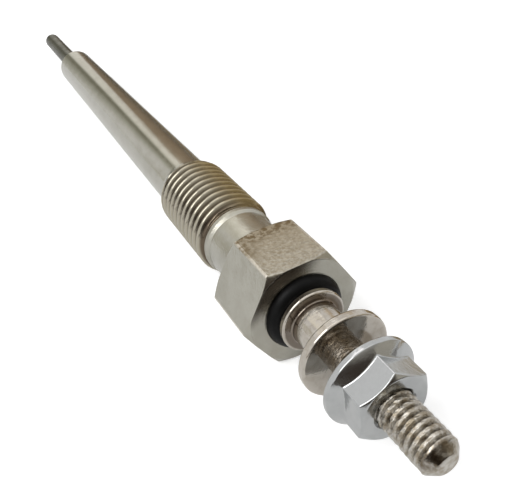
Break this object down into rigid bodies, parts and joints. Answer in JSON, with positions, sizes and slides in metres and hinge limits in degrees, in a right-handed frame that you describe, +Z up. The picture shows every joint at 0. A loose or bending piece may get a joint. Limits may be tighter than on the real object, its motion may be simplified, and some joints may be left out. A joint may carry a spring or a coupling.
{
  "type": "diesel glow plug",
  "caption": "Slim diesel glow plug with a long tapered shank, screw-in thread, hexagon, sheathed heater tip and a threaded terminal stud with a flange nut.",
  "frame": {"origin": "on the floor under the middle of the plug, which lies on an edge of its hexagon and the end of its shank", "axes": "+X along the plug from the heater tip to the terminal, +Z up; the plug's own axis climbs towards the terminal at 1.64 degrees"},
  "size_m": [0.142, 0.0138, 0.0122],
  "materials": {
    "nickel_body": "satin nickel plate",
    "nickel_terminal": "bright nickel plate",
    "heat_steel": "dull heat-resistant steel",
    "zinc_plate": "bright zinc plate",
    "black_resin": "smooth moulded black",
    "black_rubber": "matt black",
    "coil_wire": "drawn resistance wire",
    "magnesia": "packed powder"
  },
  "bodies": {
    "root": {"shell": "nickel_body", "heater_sheath": "heat_steel", "heating_coil": "coil_wire", "control_coil": "coil_wire", "magnesia_fill": "magnesia", "sheath_seal": "black_rubber", "centre_rod": "nickel_terminal", "o_ring": "black_rubber", "insulating_bush": "black_resin", "terminal_collar": "nickel_terminal", "flange_nut": "zinc_plate"}
  },
  "joints": []
}
